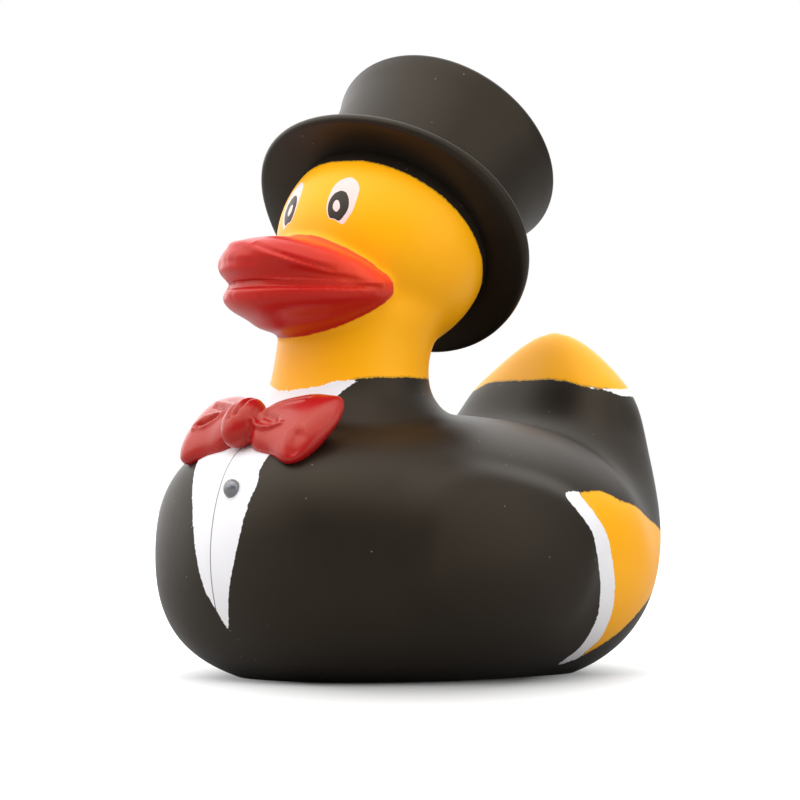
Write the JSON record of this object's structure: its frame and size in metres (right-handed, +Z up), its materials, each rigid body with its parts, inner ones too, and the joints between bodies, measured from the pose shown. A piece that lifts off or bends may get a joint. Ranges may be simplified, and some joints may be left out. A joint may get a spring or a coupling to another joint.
{
  "type": "rubber duck",
  "caption": "Hollow moulded vinyl duck in a tail coat, bow tie and top hat, standing on a flat base with a squeaker pressed into it.",
  "frame": {"origin": "middle of the duck's bounding box, on the surface that it stands on", "axes": "+Z up, -Y the way the duck faces, +X its left side"},
  "size_m": [0.069, 0.0808, 0.0941],
  "materials": {
    "painted_vinyl": "yellow soft vinyl, hand painted with a satin black coat and hat, a white shirt and a red bill and bow tie",
    "squeaker_plastic": "plain white turned plastic"
  },
  "bodies": {
    "root": {"duck_body": "painted_vinyl", "squeaker": "squeaker_plastic"}
  },
  "joints": []
}
